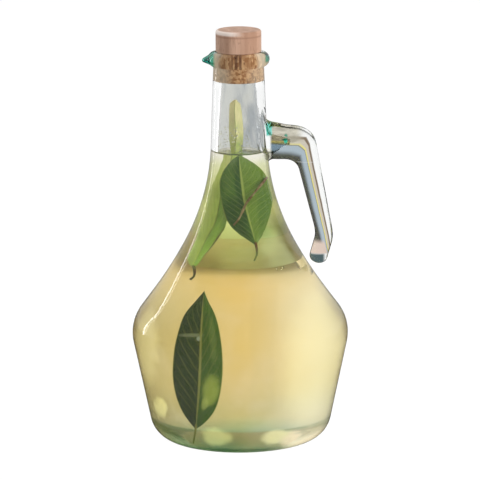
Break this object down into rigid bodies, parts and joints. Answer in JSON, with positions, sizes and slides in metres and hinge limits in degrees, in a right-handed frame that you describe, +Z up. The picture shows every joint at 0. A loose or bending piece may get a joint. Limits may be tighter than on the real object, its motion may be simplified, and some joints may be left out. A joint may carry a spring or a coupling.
{
  "type": "oil and vinegar bottle",
  "caption": "Glass bottle with a flared neck, pouring beak and open side handle, closed by a wooden-headed cork and filled with oil floating on vinegar.",
  "frame": {"origin": "on the table under the middle of the bottle's base", "axes": "+Z up the bottle's axis, +X towards the handle, -X towards the pouring beak"},
  "size_m": [0.1322, 0.1322, 0.254],
  "materials": {
    "glass": "clear, faintly aqua",
    "vinegar": "slightly cloudy liquid",
    "oil": "clear liquid",
    "cork": "cork",
    "wood": "plain beech"
  },
  "bodies": {
    "root": {"glass_bottle": "glass", "vinegar": "vinegar", "oil": "oil", "cork": "cork", "wooden_head": "wood"}
  },
  "joints": []
}
